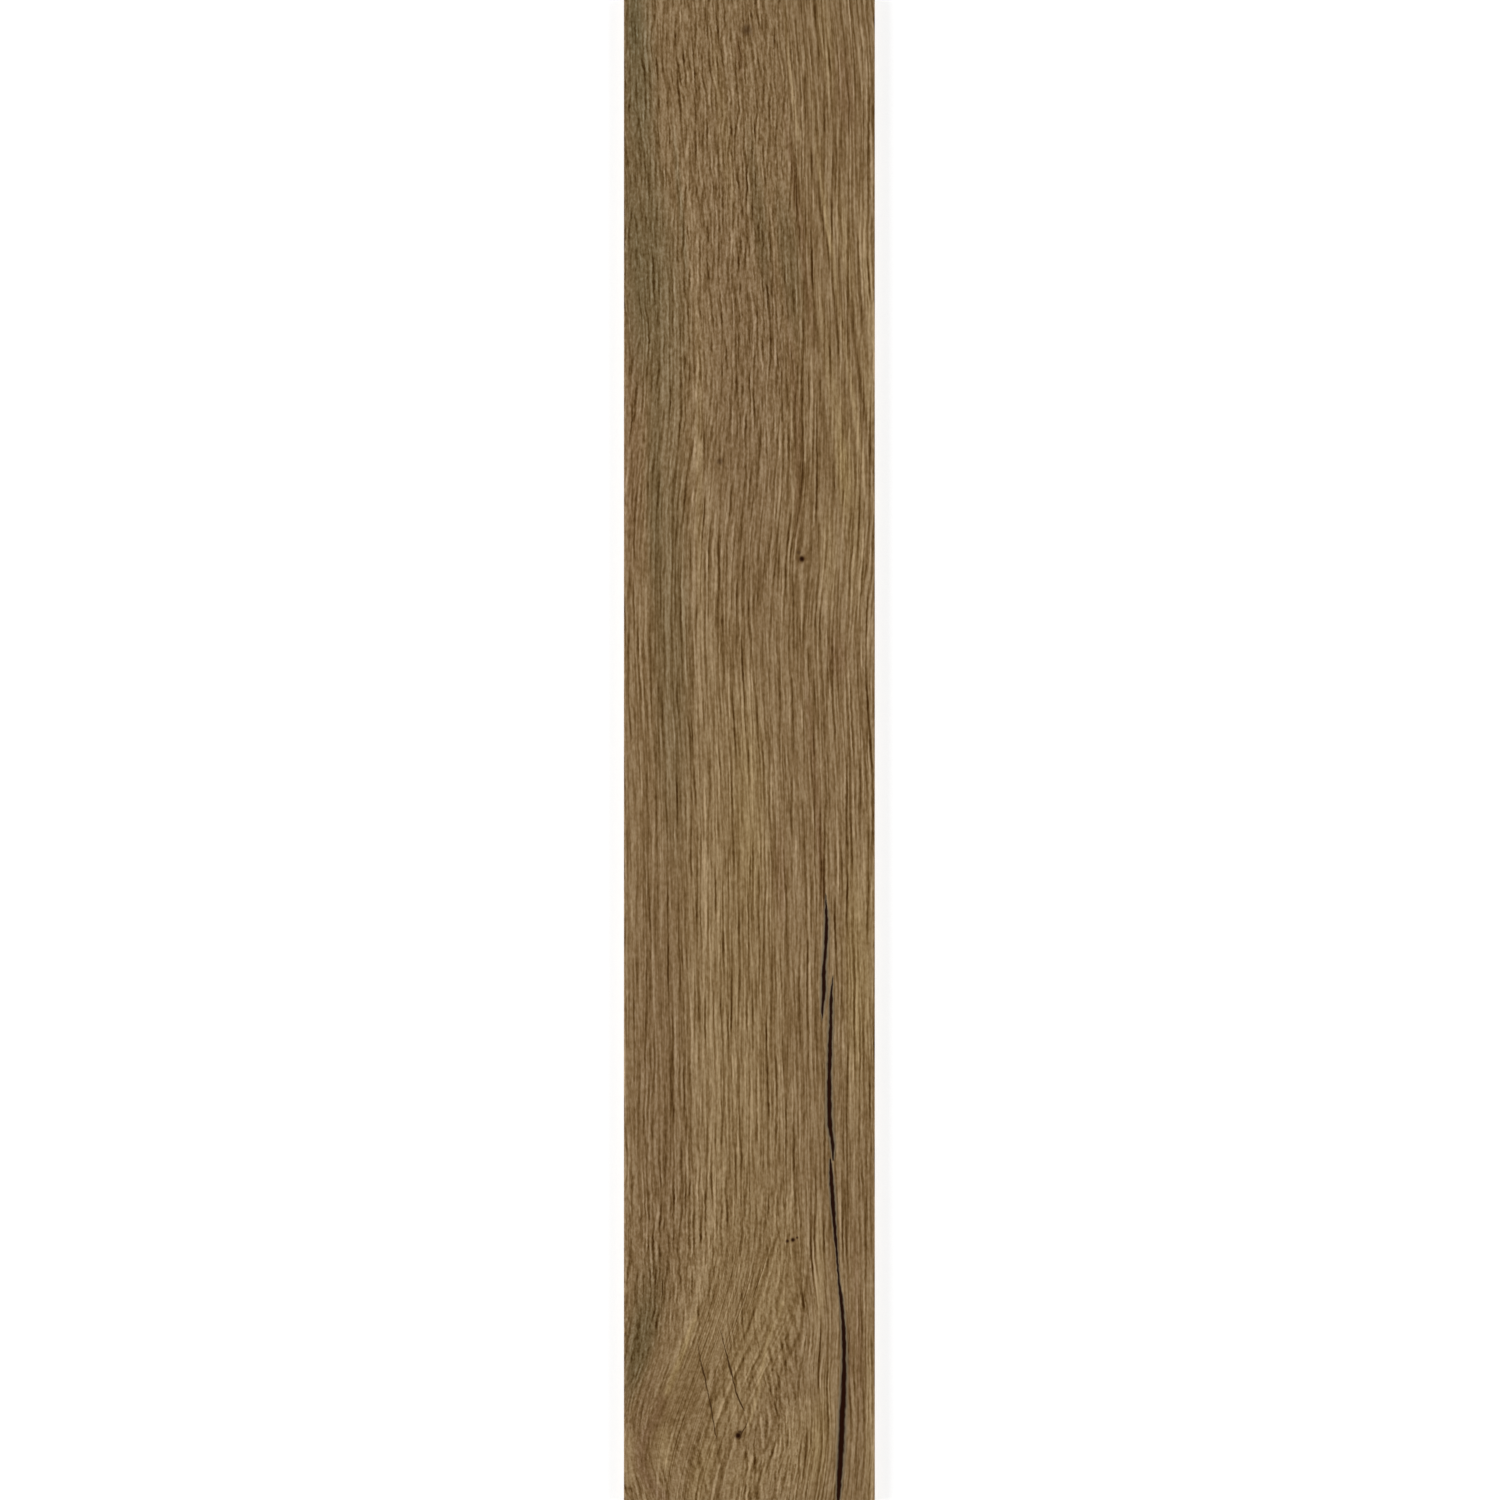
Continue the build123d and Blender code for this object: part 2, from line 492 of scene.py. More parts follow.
def grain_line(across, down):
    """Which line of the grain a place on the face lies on: the same number all along one line."""
    line = across
    for where, shift, reach, lean in GRAIN_STEPS:
        below = down - where - lean * (across - WIDTH / MM / 2)
        line = line - shift * 0.5 * (1 + np.tanh(below / reach))
    for middle, where, spread, half_width, half_length in GRAIN_LENSES:
        aside = across - middle
        nearness = np.exp(-((aside / half_width) ** 2) - ((down - where) / half_length) ** 2)
        line = line - spread * aside * nearness
    return line


def eased(value, begin, end):
    """0 up to the beginning and 1 from the end on, with a smooth rise between."""
    share = np.clip((value - begin) / (end - begin), 0, 1)
    return share * share * (3 - 2 * share)


def fibre_line(across, down):
    """Which fibre a place lies on: the grain's course, swung a little to the left above the cathedral."""
    swing = FIBRE_SWING * (1 - eased(across, *SWING_FADE))
    apex = SWING_APEX[1] + SWING_LEAN * (across - SWING_APEX[0])
    return grain_line(across, down) + swing * np.exp(-(((down - apex) / SWING_REACH) ** 2))


def ring_line(across, down):
    """The number of the growth ring that a place lies on, between the rings whose courses are known."""
    numbers = list(RING_COURSES)
    courses = []
    for points in RING_COURSES.values():
        downs, acrosses = zip(*points)
        shifted = [np.interp(down + step, downs, acrosses) for step in RING_SMOOTHING]
        courses.append(np.mean(shifted, axis=0))
    line = numbers[0] + across - courses[0]
    for i in range(len(numbers) - 1):
        share = (across - courses[i]) / (courses[i + 1] - courses[i])
        between = numbers[i] + share * (numbers[i + 1] - numbers[i])
        line = np.where(share > 0, between, line)
    return line


def figure_length(line, down):
    """How far along the figure a place on a fibre is: the figure is shorter near the plank's ends."""
    top, top_fade, top_more = SHORTER_TOP
    bottom, bottom_fade, bottom_more = SHORTER_BOTTOM
    above = top_more * top_fade * np.logaddexp(0, (top - down) / top_fade)
    below = bottom_more * bottom_fade * np.logaddexp(0, (down - bottom) / bottom_fade)
    shorter = 1 - np.round(SHORTER_STEPS * eased(line, *SHORTER_FADE)) / SHORTER_STEPS
    return down + shorter * (below - above)


# The figure, which the print and the relief share


def streaks(tree, lines, *cell):
    """Noise about 0.5, in cells of two or three given sizes, in millimetres."""
    per_cell = [1 / (size * MM) for size in cell]
    scale = (*per_cell, 0)[:3]
    scaled = add_node(tree, "ShaderNodeVectorMath", {0: lines, 1: scale}, operation="MULTIPLY")
    noise = add_node(
        tree,
        "ShaderNodeTexNoise",
        {"Vector": scaled.outputs[0], "Scale": 1.0, "Detail": 1.0, "Roughness": 0.5},
        noise_dimensions=f"{len(cell)}D",
    )
    return noise.outputs[0]


def rippled(tree, lines, width, length, sway):
    """The lines, or places, swayed from side to side by short waves, with sizes in millimetres."""
    wave = streaks(tree, lines, width, length)
    aside = add_node(
        tree, "ShaderNodeMath", {0: wave, 1: sway * MM, 2: -0.5 * sway * MM}, operation="MULTIPLY_ADD"
    )
    shift = add_node(tree, "ShaderNodeCombineXYZ", {"X": aside.outputs[0]})
    swayed = add_node(tree, "ShaderNodeVectorMath", {0: lines, 1: shift.outputs[0]}, operation="ADD")
    return swayed.outputs[0]


def dashed_lines(tree, lines, spacing, thickness, dash):
    """Thin lines along the grain, 1 in their cores: each wanders in its own strip, in dashes."""
    axes = add_node(tree, "ShaderNodeSeparateXYZ", {0: lines})
    strips = add_node(
        tree, "ShaderNodeMath", {0: axes.outputs["X"], 1: 1 / (spacing * MM)}, operation="MULTIPLY"
    ).outputs[0]
    strip = add_node(tree, "ShaderNodeMath", {0: strips}, operation="FLOOR").outputs[0]
    within = add_node(tree, "ShaderNodeMath", {0: strips, 1: strip}, operation="SUBTRACT").outputs[0]
    seed = add_node(tree, "ShaderNodeMath", {0: strip, 1: STRIP_SEED}, operation="MULTIPLY").outputs[0]
    own_noise = {}
    for use, length in (("wander", LINE_WANDER), ("dash", dash)):
        along = add_node(
            tree, "ShaderNodeMath", {0: axes.outputs["Y"], 1: 1 / (length * MM)}, operation="MULTIPLY"
        )
        spot = add_node(tree, "ShaderNodeCombineXYZ", {"X": seed, "Y": along.outputs[0]})
        own_noise[use] = add_node(
            tree,
            "ShaderNodeTexNoise",
            {"Vector": spot.outputs[0], "Scale": 1.0, "Detail": 0.0},
            noise_dimensions="2D",
        ).outputs[0]
    left, right = WANDER_RANGE
    middle = add_node(
        tree, "ShaderNodeMapRange", {"Value": own_noise["wander"], "From Min": left, "From Max": right}
    ).outputs[0]
    aside = add_node(tree, "ShaderNodeMath", {0: within, 1: middle}, operation="SUBTRACT").outputs[0]
    off = add_node(tree, "ShaderNodeMath", {0: aside}, operation="ABSOLUTE").outputs[0]
    half = thickness / spacing / 2
    core, rim = (
        add_node(
            tree,
            "ShaderNodeMapRange",
            {"Value": off, "From Min": outer * half, "From Max": inner * half, "To Max": strength},
            interpolation_type="SMOOTHSTEP",
        ).outputs[0]
        for (outer, inner), strength in ((LINE_SPREAD, 1 + LINE_RIM), (RIM_SPREAD, LINE_RIM))
    )
    drawn = add_node(tree, "ShaderNodeMath", {0: core, 1: rim}, operation="SUBTRACT").outputs[0]
    faint, full = DASH_RANGE
    inked = add_node(
        tree,
        "ShaderNodeMapRange",
        {"Value": own_noise["dash"], "From Min": faint, "From Max": full},
        interpolation_type="SMOOTHSTEP",
    ).outputs[0]
    return add_node(tree, "ShaderNodeMath", {0: drawn, 1: inked}, operation="MULTIPLY").outputs[0]


def layered_lines(tree, lines, layers):
    """The sum of several kinds of dashed line, each with its strength."""
    total = 0.0
    for spacing, thickness, dash, strength in layers:
        layer = dashed_lines(tree, lines, spacing, thickness, dash)
        total = add_node(
            tree, "ShaderNodeMath", {0: layer, 1: strength, 2: total}, operation="MULTIPLY_ADD"
        ).outputs[0]
    return total


def layered_streaks(tree, lines, layers):
    """The sum of several sizes of streak, each with its strength, about 0."""
    total = -0.5 * sum(strength for width, length, strength in layers)
    for width, length, strength in layers:
        layer = streaks(tree, lines, width, length)
        total = add_node(
            tree, "ShaderNodeMath", {0: layer, 1: strength, 2: total}, operation="MULTIPLY_ADD"
        ).outputs[0]
    return total


def crack(tree, place, points):
    """How far off a crack's middle a place is, and the crack's width there, as a share of its widest."""
    downs, acrosses, widths = (np.array(column) for column in zip(*points))
    steps = (downs - downs[0]) / (downs[-1] - downs[0])
    left, right = acrosses.min(), acrosses.max()
    axes = add_node(tree, "ShaderNodeSeparateXYZ", {0: place})
    along = add_node(
        tree,
        "ShaderNodeMapRange",
        {
            "Value": axes.outputs["Y"],
            "From Min": LENGTH / 2 - downs[0] * MM,
            "From Max": LENGTH / 2 - downs[-1] * MM,
        },
    ).outputs[0]
    path = add_node(tree, "ShaderNodeFloatCurve", {"Value": along})
    draw_curve(path, list(zip(steps, (acrosses - left) / (right - left))))
    middle = add_node(
        tree,
        "ShaderNodeMapRange",
        {
            "Value": path.outputs[0],
            "To Min": left * MM - WIDTH / 2,
            "To Max": right * MM - WIDTH / 2,
        },
    ).outputs[0]
    breadth = add_node(tree, "ShaderNodeFloatCurve", {"Value": along})
    draw_curve(breadth, list(zip(steps, widths / widths.max())))
    aside = add_node(
        tree, "ShaderNodeMath", {0: axes.outputs["X"], 1: middle}, operation="SUBTRACT"
    ).outputs[0]
    off = add_node(tree, "ShaderNodeMath", {0: aside}, operation="ABSOLUTE").outputs[0]
    return off, breadth.outputs[0]


def cracks(tree, place, courses, lips=(0.0,)):
    """1 in the cracks of a kind and 0 off them, once for each width of lip that they are drawn with."""
    drawn = [0.0] * len(lips)
    for points in courses.values():
        off, breadth = crack(tree, place, points)
        widest = max(width for down, across, width in points)
        for i, lip in enumerate(lips):
            edge = add_node(
                tree, "ShaderNodeMath", {0: breadth, 1: (widest / 2 + lip) * MM}, operation="MULTIPLY"
            ).outputs[0]
            inner = add_node(
                tree,
                "ShaderNodeMath",
                {0: edge, 1: 1 - CRACK_EDGE, 2: -LEAST_WALL * MM},
                operation="MULTIPLY_ADD",
            ).outputs[0]
            bed = add_node(
                tree,
                "ShaderNodeMapRange",
                {"Value": off, "From Min": edge, "From Max": inner},
                interpolation_type="SMOOTHSTEP",
            ).outputs[0]
            drawn[i] = add_node(
                tree, "ShaderNodeMath", {0: bed, 1: drawn[i]}, operation="MAXIMUM"
            ).outputs[0]
    return drawn


def knots(tree, place, spread=1.0):
    """How deep in a pin knot a place is, times the knot's darkness, with the knots spread wider or not."""
    most = 0.0
    for across, down, radius, darkness in KNOTS:
        centre = (across * MM - WIDTH / 2, LENGTH / 2 - down * MM, HIGHEST.z)
        off = add_node(tree, "ShaderNodeVectorMath", {0: place, 1: centre}, operation="DISTANCE")
        inside = add_node(
            tree,
            "ShaderNodeMapRange",
            {
                "Value": off.outputs["Value"],
                "From Min": spread * radius * MM,
                "From Max": KNOT_HEART * radius * MM,
                "To Max": darkness,
            },
            interpolation_type="SMOOTHSTEP",
        ).outputs[0]
        most = add_node(tree, "ShaderNodeMath", {0: inside, 1: most}, operation="MAXIMUM").outputs[0]
    return most


# The tile's mesh


def model_blank():
    """The plank without its back: a fine face, drawn out at its rim into the bevels and the sides."""
    bpy.ops.object.select_all(action="DESELECT")
    face_width, face_length = WIDTH - 2 * FACE_BEVEL, LENGTH - 2 * FACE_BEVEL
    bpy.ops.mesh.primitive_grid_add(
        x_subdivisions=round(face_width / CELL_ACROSS),
        y_subdivisions=round(face_length / CELL_ALONG),
        size=1.0,
    )
    tile = bpy.context.object
    tile.name = "oak_look_tile"
    bpy.ops.object.mode_set(mode="EDIT")
    bpy.ops.mesh.select_all(action="SELECT")
    bpy.ops.transform.resize(value=(face_width, face_length, 1))
    bpy.ops.transform.translate(value=(0, 0, HIGHEST.z))
    bpy.ops.mesh.select_mode(type="EDGE")
    bpy.ops.mesh.select_all(action="DESELECT")
    bpy.ops.mesh.select_non_manifold()
    now = (face_width, face_length)
    sides = (WIDTH - 2 * HAIR, LENGTH - 2 * HAIR)
    back = (WIDTH - 2 * BACK_BEVEL, LENGTH - 2 * BACK_BEVEL)
    rims = (
        (FACE_BEVEL, sides),
        (THICKNESS - FACE_BEVEL - BACK_BEVEL, sides),
        (BACK_BEVEL, back),
    )
    for drop, size in rims:
        bpy.ops.mesh.extrude_region_move(TRANSFORM_OT_translate={"value": (0, 0, -drop)})
        grown = (size[0] / now[0], size[1] / now[1], 1)
        bpy.ops.transform.resize(value=grown, center_override=(0, 0, 0))
        now = size
    bpy.ops.object.mode_set(mode="OBJECT")
    return tile


def model_keys():
    """The keying squares, as open dishes: one rounded dish with leaning walls, repeated both ways."""
    bpy.ops.object.select_all(action="DESELECT")
    bpy.ops.mesh.primitive_plane_add(size=KEY_SQUARE)
    keys = bpy.context.object
    keys.name = "keying_squares"
    bpy.ops.object.mode_set(mode="EDIT")
    bpy.ops.mesh.select_all(action="SELECT")
    bpy.ops.mesh.bevel(offset=KEY_CORNER, segments=4, affect="VERTICES")
    bpy.ops.mesh.select_all(action="SELECT")
    bpy.ops.mesh.delete(type="ONLY_FACE")
    bpy.ops.mesh.select_mode(type="EDGE")
    bpy.ops.mesh.select_all(action="SELECT")
    bpy.ops.mesh.extrude_region_move(TRANSFORM_OT_translate={"value": (0, 0, KEY_DEPTH)})
    narrowed = 1 - 2 * KEY_DEPTH * math.tan(KEY_DRAFT) / KEY_SQUARE
    bpy.ops.transform.resize(value=(narrowed, narrowed, 1), center_override=(0, 0, 0))
    bpy.ops.mesh.edge_face_add()
    bpy.ops.mesh.select_all(action="SELECT")
    pitch = KEY_SQUARE + KEY_RIB
    first = (-(KEYS_ACROSS - 1) * pitch / 2, -(KEYS_ALONG - 1) * pitch / 2, LOWEST.z)
    bpy.ops.transform.translate(value=first)
    bpy.ops.object.mode_set(mode="OBJECT")
    repeats = (("across", KEYS_ACROSS, (pitch, 0, 0)), ("along", KEYS_ALONG, (0, pitch, 0)))
    for name, count, step in repeats:
        rows = keys.modifiers.new(name, "ARRAY")
        rows.count = count
        rows.use_relative_offset = False
        rows.use_constant_offset = True
        rows.constant_offset_displace = step
        bpy.ops.object.modifier_apply(modifier=name)
    return keys


def close_back(tile):
    """Set the keying squares in the open back, and fill the ribs between them out to the plank's rim."""
    keys = model_keys()
    bpy.ops.object.select_all(action="DESELECT")
    keys.select_set(True)
    tile.select_set(True)
    bpy.context.view_layer.objects.active = tile
    bpy.ops.object.join()
    bpy.ops.object.mode_set(mode="EDIT")
    bpy.ops.mesh.select_mode(type="EDGE")
    bpy.ops.mesh.select_all(action="DESELECT")
    bpy.ops.mesh.select_non_manifold()
    bpy.ops.mesh.fill()
    bpy.ops.mesh.select_all(action="SELECT")
    bpy.ops.mesh.normals_make_consistent(inside=False)
    bpy.ops.object.mode_set(mode="OBJECT")


def read_all(items, name, size=1, kind=float):
    """One property of all the points, corners or faces of a mesh, with a row for each."""
    values = np.empty(len(items) * size, kind)
    items.foreach_get(name, values)
    return values.reshape(-1, size).squeeze()


def face_places(tile):
    """How far across and down the face each point of the tile lies, and how far up, in millimetres."""
    places = read_all(tile.data.vertices, "co", 3)
    return (places[:, 0] + WIDTH / 2) / MM, (LENGTH / 2 - places[:, 1]) / MM, places[:, 2] / MM


def map_grain(tile):
    """Two UV maps, in metres, that lay the figure along the fibres and along the growth rings."""
    mesh = tile.data
    corners = read_all(mesh.loops, "vertex_index", kind=int)
    firsts = read_all(mesh.polygons, "loop_start", kind=int)
    counts = read_all(mesh.polygons, "loop_total", kind=int)
    across, down = (column[corners] for column in face_places(tile)[:2])
    line = fibre_line(across, down)
    line_of_face = np.repeat(np.add.reduceat(line, firsts) / counts, counts)
    maps = {
        "fibres": (line, figure_length(line_of_face, down)),
        "rings": (ring_line(across, down), down),
    }
    for name, axes in maps.items():
        layer = mesh.uv_layers.new(name=name)
        layer.uv.foreach_set("vector", np.stack(axes, axis=1).ravel() * MM)


def fading_spot(line, down, spot):
    """1 in the core of an oval spot along a growth ring, fading to 0 at its rim, for many places."""
    spot_across, spot_down, half_width, half_length = spot
    aside = (line - ring_line(spot_across, spot_down)) / half_width
    return eased(np.hypot(aside, (down - spot_down) / half_length), 1, STROKE_CORE)


def soft_mark(across, down, half_width, course):
    """1 on a mark's course, fading to 0 at its half width to the sides, for many places."""
    nearest = np.inf
    for (from_across, from_down), (to_across, to_down) in zip(course, course[1:]):
        step_across, step_down = to_across - from_across, to_down - from_down
        along = (across - from_across) * step_across + (down - from_down) * step_down
        share = np.clip(along / (step_across**2 + step_down**2), 0, 1)
        off = np.hypot(across - from_across - share * step_across, down - from_down - share * step_down)
        nearest = np.minimum(nearest, off)
    return eased(nearest, half_width, 0)


def paint_strokes(tile):
    """Attributes of the tile's points: the strokes' tone with the bevel's painted shade, their tint, and
    the lines' strength.
    """
    across, down, up = face_places(tile)
    line = ring_line(across, down)
    # painted shade: the print is darkened down the face's bevel, in place of the arris's own shade
    tone = np.where(up < BEVEL_MIDDLE / MM, PAINTED_BEVEL_SHADE, 0.0)
    tint = np.ones((len(line), 3))
    strength = np.ones(len(line))
    for *spot, lighter, change in STROKES:
        stroke = fading_spot(line, down, spot)
        tone += lighter * stroke
        tint += np.outer(stroke, change)
    for half_width, lighter, change, stronger, course in MARKS.values():
        mark = soft_mark(across, down, half_width, course)
        tone += lighter * mark
        tint += np.outer(mark, change)
        strength += stronger * mark
    for *spot, lost in FAINT_SPOTS:
        strength -= lost * fading_spot(line, down, spot)
    ringed = eased(down, *CATHEDRAL_TOP) * eased(line, *CATHEDRAL_LEFT)
    ringed *= 1 - eased(line, *CATHEDRAL_RIGHT)
    strength -= CATHEDRAL_FAINT * ringed
    for name, kind, field, values in (
        ("ring_strength", "FLOAT", "value", ringed),
        ("stroke_tone_and_painted_shade", "FLOAT", "value", tone),
        ("stroke_tint", "FLOAT_VECTOR", "vector", tint),
        ("line_strength", "FLOAT", "value", strength),
    ):
        tile.data.attributes.new(name, kind, "POINT").data.foreach_set(field, values.ravel())


def map_surface(tile):
    """A UV map of the whole tile on one square, with most of its width for the face."""
    mesh = tile.data
    corners = read_all(mesh.loops, "vertex_index", kind=int)
    counts = read_all(mesh.polygons, "loop_total", kind=int)
    places = read_all(mesh.vertices, "co", 3)[corners]
    across, along, up = (places / (WIDTH, LENGTH, THICKNESS) + (0.5, 0.5, 0)).T
    normals = read_all(mesh.polygons, "normal", 3)
    right, top, out = np.repeat(normals, counts, axis=0).T
    sides = (  # which faces, their start and width on the square, and what runs across them
        (out > GLAZED_SLOPE, FACE_SHEET, across),
        (out < -GLAZED_SLOPE, BACK_SHEET, across),
        (right < -SIDE_SLOPE, LEFT_SHEET, up),
        (right > SIDE_SLOPE, RIGHT_SHEET, up),
    )
    u = END_SHEET[0] + END_SHEET[1] * up
    v = END_LENGTH * across + np.where(top < 0, BOTTOM_END, TOP_END)
    for chosen, (start, width), run in sides:
        u = np.where(chosen, start + width * run, u)
        v = np.where(chosen, along, v)
    layer = mesh.uv_layers.new(name="OFBake")
    layer.uv.foreach_set("vector", np.stack((u, v), axis=1).ravel())


def press_relief(tile):
    """Press the grain, the cracks and the knots into the glazed face, below its plane."""
    tree = bpy.data.node_groups.new("pressed relief", "GeometryNodeTree")
    tree.interface.new_socket("Geometry", in_out="INPUT", socket_type="NodeSocketGeometry")
    tree.interface.new_socket("Geometry", in_out="OUTPUT", socket_type="NodeSocketGeometry")
    blank = tree.nodes.new("NodeGroupInput")
    place = tree.nodes.new("GeometryNodeInputPosition").outputs[0]
    fibre_map = add_node(
        tree, "GeometryNodeInputNamedAttribute", {"Name": "fibres"}, data_type="FLOAT_VECTOR"
    ).outputs[0]
    wobbly = rippled(tree, place, *CRACK_WOBBLE)
    parts = (
        (layered_lines(tree, rippled(tree, fibre_map, *RIPPLE), FIBRE_LINES[:1]), PORE_DEPTH),
        (streaks(tree, fibre_map, *STREAK), -STREAK_DEPTH),
        (cracks(tree, wobbly, CRACKS)[0], -CRACK_DEPTH),
        (cracks(tree, wobbly, CHECKS)[0], -CHECK_DEPTH),
        (knots(tree, place), -KNOT_DEPTH),
    )
    height = 0.0
    for part, depth in parts:
        height = add_node(
            tree, "ShaderNodeMath", {0: part, 1: depth, 2: height}, operation="MULTIPLY_ADD"
        ).outputs[0]
    sunk = add_node(tree, "ShaderNodeMath", {0: height, 1: 0.0}, operation="MINIMUM")
    offset = add_node(tree, "ShaderNodeCombineXYZ", {"Z": sunk.outputs[0]})
    axes = add_node(tree, "ShaderNodeSeparateXYZ", {0: place})
    on_face = add_node(
        tree, "ShaderNodeMath", {0: axes.outputs["Z"], 1: BEVEL_MIDDLE}, operation="GREATER_THAN"
    )
    pressed = add_node(
        tree,
        "GeometryNodeSetPosition",
        {"Geometry": blank.outputs[0], "Selection": on_face.outputs[0], "Offset": offset.outputs[0]},
    )
    out = tree.nodes.new("NodeGroupOutput")
    tree.links.new(pressed.outputs[0], out.inputs[0])
    relief = tile.modifiers.new("pressed relief", "NODES")
    relief.node_group = tree
    bpy.ops.object.modifier_apply(modifier=relief.name)


# Materials


def laid_over(tree, colour, layers):
    """A colour with other colours laid over it in turn, each as far as its cover goes."""
    for cover, ink in layers:
        colour = add_node(
            tree, "ShaderNodeMix", {"Factor": cover, "A": colour, "B": linear(ink)}, data_type="RGBA"
        ).outputs["Result"]
    return colour


def printed_glaze():
    """Matt glaze with an inkjet oak print: brown dashes on a paler ground, a dull sheen and no gloss."""
    material = bpy.data.materials.new("matt_glaze_with_oak_print")
    material.use_nodes = True
    tree = material.node_tree
    shader = tree.nodes["Principled BSDF"]
    place = add_node(tree, "ShaderNodeTexCoord").outputs["Object"]
    fibre_map = add_node(tree, "ShaderNodeUVMap", uv_map="fibres").outputs[0]
    ring_map = add_node(tree, "ShaderNodeUVMap", uv_map="rings").outputs[0]

    fibres = rippled(tree, fibre_map, *RIPPLE)
    uneven = rippled(tree, fibres, *JITTER)
    painted = {}
    for name in ("stroke_tone_and_painted_shade", "stroke_tint", "line_strength", "ring_strength"):
        painted[name] = add_node(tree, "ShaderNodeAttribute", attribute_name=name)
    grit = streaks(tree, place, *GRIT)
    tone = add_node(
        tree,
        "ShaderNodeMath",
        {0: grit, 1: GRIT_STRENGTH, 2: MIDDLE_TONE - 0.5 * GRIT_STRENGTH},
        operation="MULTIPLY_ADD",
    ).outputs[0]
    for lines, kinds, strength in (
        (uneven, FIBRE_LINES, "line_strength"),
        (rippled(tree, ring_map, *JITTER), RING_LINES, "ring_strength"),
    ):
        tone = add_node(
            tree,
            "ShaderNodeMath",
            {0: layered_lines(tree, lines, kinds), 1: painted[strength].outputs["Fac"], 2: tone},
            operation="MULTIPLY_ADD",
        ).outputs[0]
    # the strokes' tone also carries the painted shade down the bevel
    for part in (
        layered_streaks(tree, fibres, FIBRES),
        layered_streaks(tree, ring_map, RINGS),
        painted["stroke_tone_and_painted_shade"].outputs["Fac"],
    ):
        tone = add_node(tree, "ShaderNodeMath", {0: part, 1: tone}, operation="ADD").outputs[0]
    ramp = add_node(tree, "ShaderNodeValToRGB", {"Fac": tone})
    stops = ((0.0, "#442908"), (0.25, "#634927"), (0.5, "#816643"), (0.75, "#9E8563"), (1.0, "#BDA280"))
    for place_on_ramp, colour in stops[1:-1]:
        ramp.color_ramp.elements.new(place_on_ramp)
    for stop, (place_on_ramp, colour) in zip(ramp.color_ramp.elements, stops):
        stop.position = place_on_ramp
        stop.color = linear(colour)

    tinted = add_node(
        tree,
        "ShaderNodeVectorMath",
        {0: ramp.outputs[0], 1: painted["stroke_tint"].outputs["Vector"]},
        operation="MULTIPLY",
    )
    wobbly = rippled(tree, place, *CRACK_WOBBLE)
    bed, lip = cracks(tree, wobbly, CRACKS, (0.0, CRACK_LIP))
    layers = (
        (lip, "#83735A"),
        (knots(tree, wobbly, KNOT_HALO), "#5E4020"),
        (knots(tree, wobbly), "#240B00"),
        (cracks(tree, wobbly, CHECKS)[0], "#4A3217"),
        (bed, "#240A00"),
    )
    tree.links.new(laid_over(tree, tinted.outputs[0], layers), shader.inputs["Base Color"])
    pores = streaks(tree, fibres, *PORE)
    rough = add_node(tree, "ShaderNodeMapRange", {"Value": pores, **dict(zip(MAP_RANGE, GLAZE_ROUGHNESS))})
    tree.links.new(rough.outputs[0], shader.inputs["Roughness"])
    bump = add_node(
        tree, "ShaderNodeBump", {"Height": pores, "Strength": BUMP_STRENGTH, "Distance": PORE_BUMP}
    )
    tree.links.new(bump.outputs[0], shader.inputs["Normal"])
    shader.inputs["IOR"].default_value = 1.5
    shader.inputs["Specular IOR Level"].default_value = 0.08
    return material


def fired_body():
    """Fired stoneware, ground at the sides and bare at the back: dense, matt buff with fine darker and
    paler grains, faint level grinding lines, and a thin chalky wash on the back's ribs."""
    material = bpy.data.materials.new("fired_stoneware_body")
    material.use_nodes = True
    tree = material.node_tree
    shader = tree.nodes["Principled BSDF"]
    place = add_node(tree, "ShaderNodeTexCoord").outputs["Object"]
    grains = streaks(tree, place, *BODY_GRAIN)
    ground = streaks(tree, place, *GRINDING)
    patches = streaks(tree, place, *WASH_PATCH)
    axes = add_node(tree, "ShaderNodeSeparateXYZ", {0: place})
    on_rib = add_node(
        tree, "ShaderNodeMath", {0: axes.outputs["Z"], 1: LOWEST.z + WASH_TOP}, operation="LESS_THAN"
    ).outputs[0]
    covers = (  # noise, where it begins to show and where it is full, its share of the colour, its colour
        (ground, 0.48, 0.66, 0.35, "#9C8B74"),
        (patches, 0.40, 0.70, 0.30, "#C0B09A"),
        (grains, 0.60, 0.68, 0.70, "#7A6953"),
        (grains, 0.38, 0.30, 0.60, "#DBD1C0"),
    )
    layers = []
    for noise, begin, full, share, ink in covers:
        cover = add_node(
            tree,
            "ShaderNodeMapRange",
            {"Value": noise, "From Min": begin, "From Max": full, "To Max": share},
        )
        layers.append((cover.outputs[0], ink))
    dusty = add_node(tree, "ShaderNodeMapRange", {"Value": patches, **dict(zip(MAP_RANGE, WASH_COVER))})
    wash = add_node(tree, "ShaderNodeMath", {0: on_rib, 1: dusty.outputs[0]}, operation="MULTIPLY")
    layers.append((wash.outputs[0], "#D8D1C5"))
    tree.links.new(laid_over(tree, linear("#B3A189"), layers), shader.inputs["Base Color"])
    rough = add_node(tree, "ShaderNodeMapRange", {"Value": grains, **dict(zip(MAP_RANGE, BODY_ROUGHNESS))})
    tree.links.new(rough.outputs[0], shader.inputs["Roughness"])
    uneven = add_node(tree, "ShaderNodeMath", {0: grains, 1: ground}, operation="ADD")
    bump = add_node(
        tree,
        "ShaderNodeBump",
        {"Height": uneven.outputs[0], "Strength": BUMP_STRENGTH, "Distance": BODY_BUMP},
    )
    tree.links.new(bump.outputs[0], shader.inputs["Normal"])
    shader.inputs["IOR"].default_value = 1.5
    shader.inputs["Specular IOR Level"].default_value = 0.3
    return material


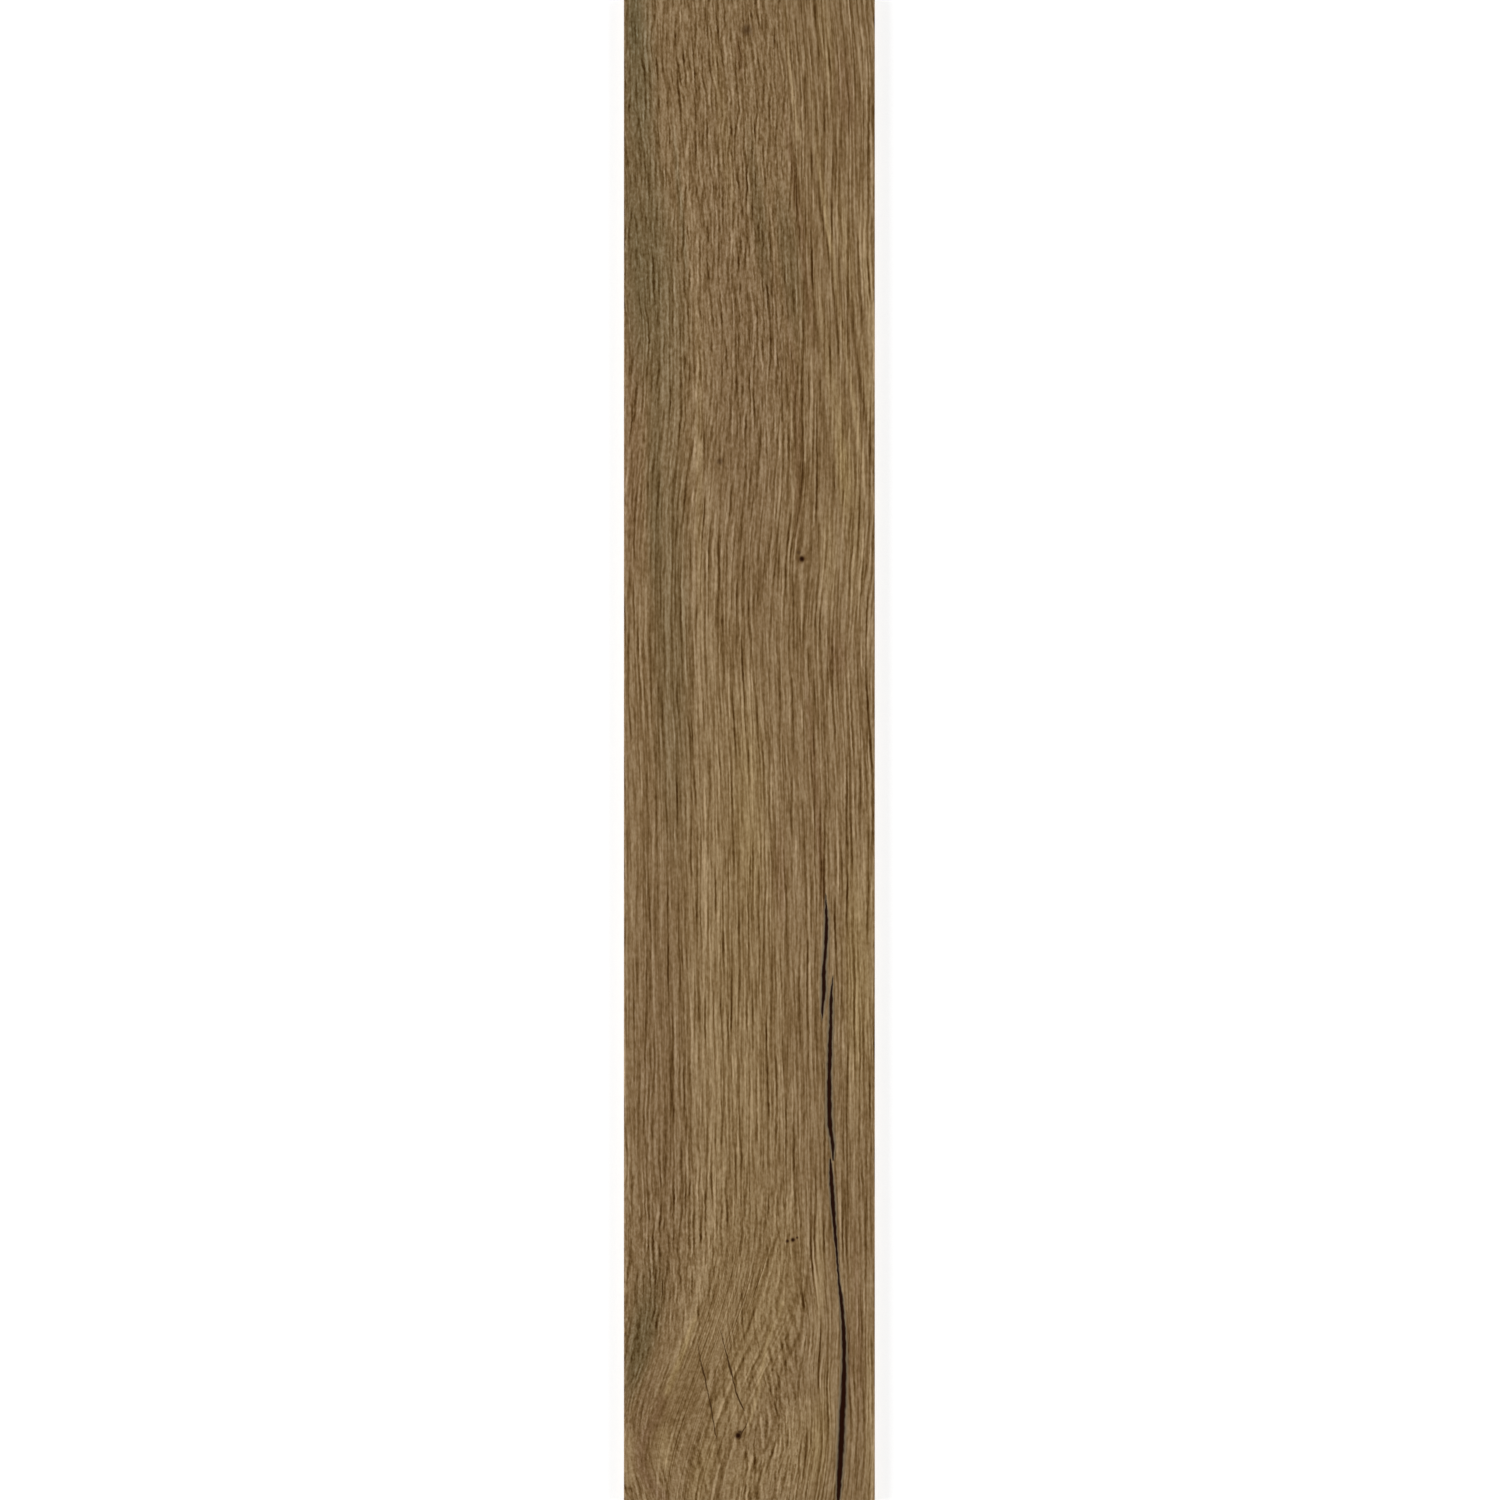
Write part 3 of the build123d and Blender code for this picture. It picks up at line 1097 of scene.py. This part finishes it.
def finish_tile(tile):
    """Glaze on the face and its bevel, bare body on the rest, and shading that is smooth between edges."""
    tile.data.materials.clear()
    tile.data.materials.append(printed_glaze())
    tile.data.materials.append(fired_body())
    for face in tile.data.polygons:
        face.material_index = 0 if face.normal.z > GLAZED_SLOPE else 1
    bpy.ops.object.shade_smooth_by_angle(angle=SHARP_EDGE)
    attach(tile, "root")
    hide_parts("tile")


# The stage


def lay_floor():
    """A pale floor that the camera sees as white, with the tile's soft shadow on it."""
    bpy.ops.object.select_all(action="DESELECT")
    bpy.ops.mesh.primitive_plane_add(size=FLOOR_SIZE, location=(0, 0, LOWEST.z))
    floor = bpy.context.object
    floor.name = "floor"
    material = bpy.data.materials.new("white_paper")
    material.use_nodes = True
    tree = material.node_tree
    paper = tree.nodes["Principled BSDF"]
    paper.inputs["Base Color"].default_value = linear("#C8C8C8")
    paper.inputs["Roughness"].default_value = 0.9
    path = add_node(tree, "ShaderNodeLightPath")
    seen = path.outputs["Is Camera Ray"]
    for ray in ("Is Glossy Ray", "Is Transmission Ray"):
        seen = add_node(
            tree, "ShaderNodeMath", {0: seen, 1: path.outputs[ray]}, operation="MAXIMUM"
        ).outputs[0]
    glow = add_node(tree, "ShaderNodeMath", {0: seen, 1: FLOOR_GLOW}, operation="MULTIPLY")
    paper.inputs["Emission Color"].default_value = linear("#FFFFFF")
    tree.links.new(glow.outputs[0], paper.inputs["Emission Strength"])
    floor.data.materials.append(material)


def light_world():
    """A pale studio: white walls around, and a dim ceiling, so that the face mirrors little from above."""
    world = bpy.data.worlds.new("studio")
    bpy.context.scene.world = world
    world.use_nodes = True
    tree = world.node_tree
    sky = tree.nodes["Background"]
    sky.inputs["Color"].default_value = linear("#FFFFFF")
    direction = add_node(tree, "ShaderNodeTexCoord").outputs["Generated"]
    axes = add_node(tree, "ShaderNodeSeparateXYZ", {0: direction})
    strength = add_node(
        tree,
        "ShaderNodeMapRange",
        {"Value": axes.outputs["Z"], **dict(zip(MAP_RANGE, CEILING))},
        interpolation_type="SMOOTHSTEP",
    )
    tree.links.new(strength.outputs[0], sky.inputs["Strength"])


def hang_lights():
    """Two long soft boxes, one on each side of the plank, the left one the brighter."""
    for name, side, power in (("left_box", -1, 62.0), ("right_box", 1, 48.0)):
        bpy.ops.object.light_add(type="AREA", location=(side * LAMP_ASIDE, 0, LAMP_HEIGHT))
        lamp = bpy.context.object
        lamp.name = name
        lamp.data.shape = "RECTANGLE"
        lamp.data.size = LAMP_WIDTH
        lamp.data.size_y = LAMP_LENGTH
        lamp.data.energy = power
        lamp.rotation_euler = (0, side * math.atan2(LAMP_ASIDE, LAMP_HEIGHT), 0)


def set_camera():
    """Straight above the plank's middle, with +Y up in the picture."""
    height = HIGHEST.z + VIEW_LENGTH * LENS / SENSOR
    bpy.ops.object.camera_add(location=(VIEW_ASIDE, 0, height), rotation=(0, 0, 0))
    camera = bpy.context.object
    camera.data.lens = LENS
    camera.data.sensor_width = SENSOR
    bpy.context.scene.camera = camera


tile = model_blank()
close_back(tile)
map_grain(tile)
map_surface(tile)
press_relief(tile)
paint_strokes(tile)
finish_tile(tile)
lay_floor()
light_world()
hang_lights()
set_camera()
bpy.context.scene.view_settings.view_transform = "Standard"
